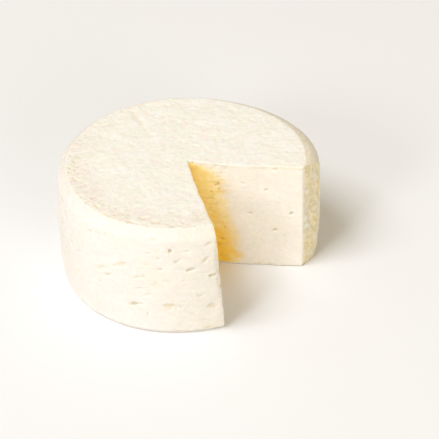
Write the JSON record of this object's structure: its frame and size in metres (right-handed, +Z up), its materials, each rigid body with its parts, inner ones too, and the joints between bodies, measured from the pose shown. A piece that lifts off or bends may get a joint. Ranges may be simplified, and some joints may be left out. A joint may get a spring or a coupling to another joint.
{
  "type": "panela cheese",
  "caption": "Pressed wheel of fresh white cheese with one wedge cut out, a cloth-marked top, soft rounded shoulders and two bare cut faces.",
  "frame": {"origin": "centre of the wheel's box at its base, on the surface it stands on", "axes": "+Z up through the wheel; the open notch faces -Y and +X"},
  "size_m": [0.1832, 0.1824, 0.0828],
  "materials": {
    "fresh_cheese": "satin"
  },
  "bodies": {
    "root": {"cheese_wheel": "fresh_cheese"}
  },
  "joints": []
}
